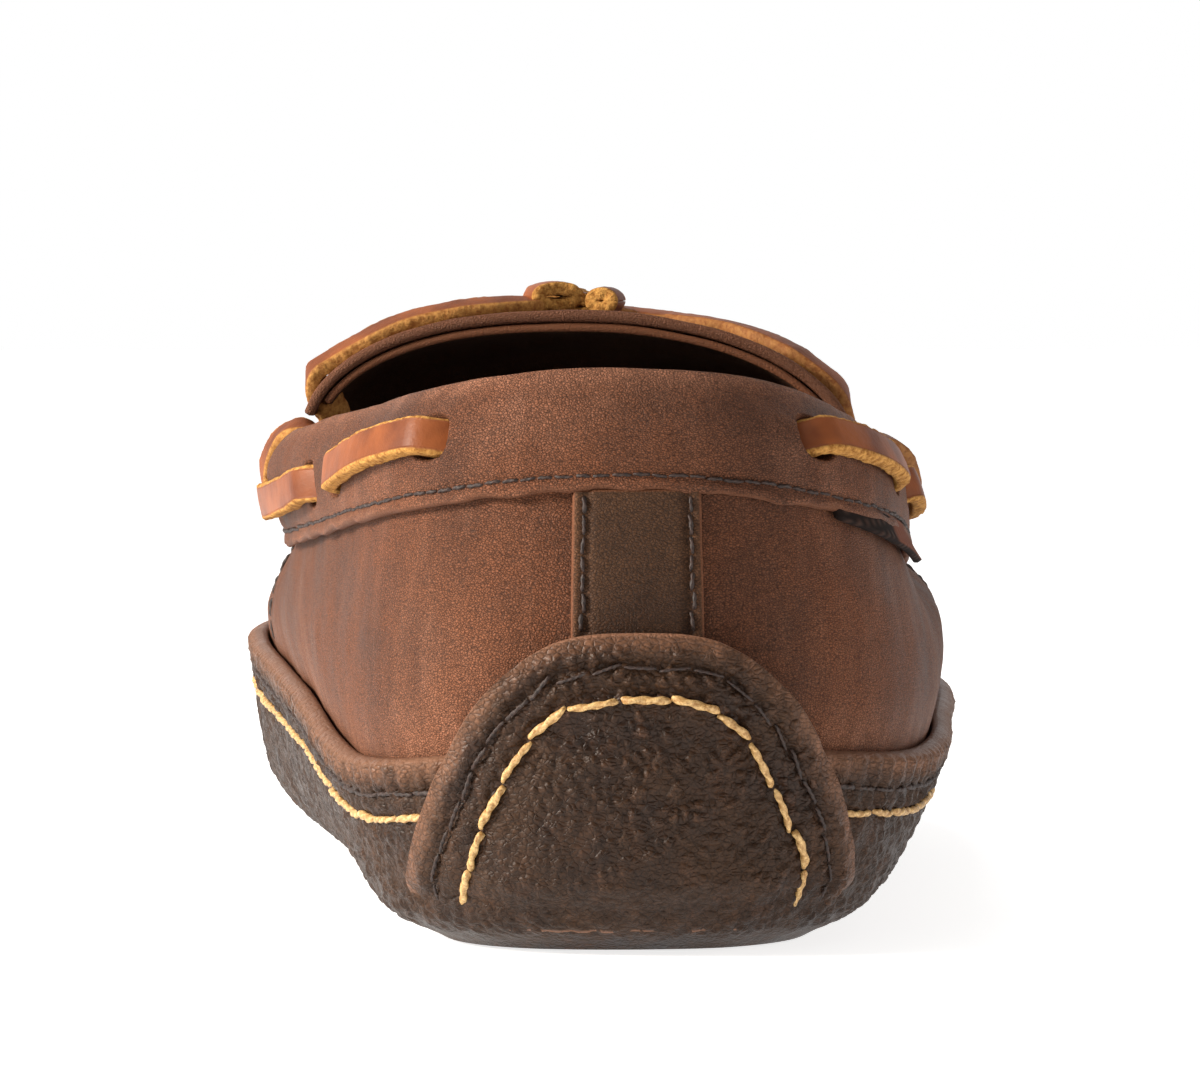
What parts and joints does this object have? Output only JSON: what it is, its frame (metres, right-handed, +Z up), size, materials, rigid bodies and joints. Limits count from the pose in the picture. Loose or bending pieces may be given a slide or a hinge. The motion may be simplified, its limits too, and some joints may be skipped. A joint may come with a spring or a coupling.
{
  "type": "moccasin",
  "caption": "Low leather slip-on moccasin with a wrapped pebbled sole, folded heel tab, rawhide lace threaded through a rolled collar and knotted over the tongue.",
  "frame": {"origin": "on the ground under the middle of the shoe's bounding box", "axes": "+Y from heel to toe, +Z up, +X to the outer side of this right shoe; the ground is z = 0"},
  "size_m": [0.1052, 0.295, 0.086],
  "materials": {
    "brown_nubuck": "oiled brown nubuck with a fine grain, worn lighter on folds and edges",
    "dark_nubuck": "darker brown oiled leather strip",
    "pebbled_hide": "thick oiled hide with a coarse pebble grain and lighter cut edges",
    "rawhide": "orange-tan rawhide, smooth on the face and rough on the cut edges",
    "lining_leather": "dark brown lining leather",
    "foam": "grey-brown foam",
    "fibre_board": "tan leather fibre board",
    "dark_thread": "fine dark brown sewing thread",
    "waxed_thread": "thick waxed straw-yellow thread",
    "woven_tape": "near-black woven tape, blank"
  },
  "bodies": {
    "shoe": {"outer_sole": "pebbled_hide", "sole_pad": "foam", "inner_sole": "fibre_board", "footbed": "foam", "sock_liner": "lining_leather", "quarter_medial": "brown_nubuck", "quarter_lateral": "brown_nubuck", "vamp": "brown_nubuck", "heel_strip": "dark_nubuck", "heel_counter": "fibre_board", "quarter_lining": "lining_leather", "vamp_lining": "lining_leather", "plug": "brown_nubuck", "plug_lining": "lining_leather", "collar_band": "brown_nubuck", "collar_lace": "rawhide", "side_label": "woven_tape", "sole_thread_fine": "dark_thread", "sole_thread_waxed": "waxed_thread", "tab_thread_fine": "dark_thread", "tab_thread_waxed": "waxed_thread", "collar_thread": "dark_thread", "strip_thread_medial": "dark_thread", "strip_thread_lateral": "dark_thread", "side_thread_medial": "dark_thread", "side_thread_lateral": "dark_thread", "plug_thread": "waxed_thread"},
    "tongue_and_bow": {"tongue": "brown_nubuck", "tongue_lining": "lining_leather", "tongue_thread": "dark_thread", "lace_bow": "rawhide"}
  },
  "joints": [
    {"name": "tongue_lift", "type": "hinge", "parent": "shoe", "child": "tongue_and_bow", "pos_m": [0.0003, 0.0135, 0.0714], "axis": [-1, 0, 0], "range_deg": [0, 35]}
  ]
}
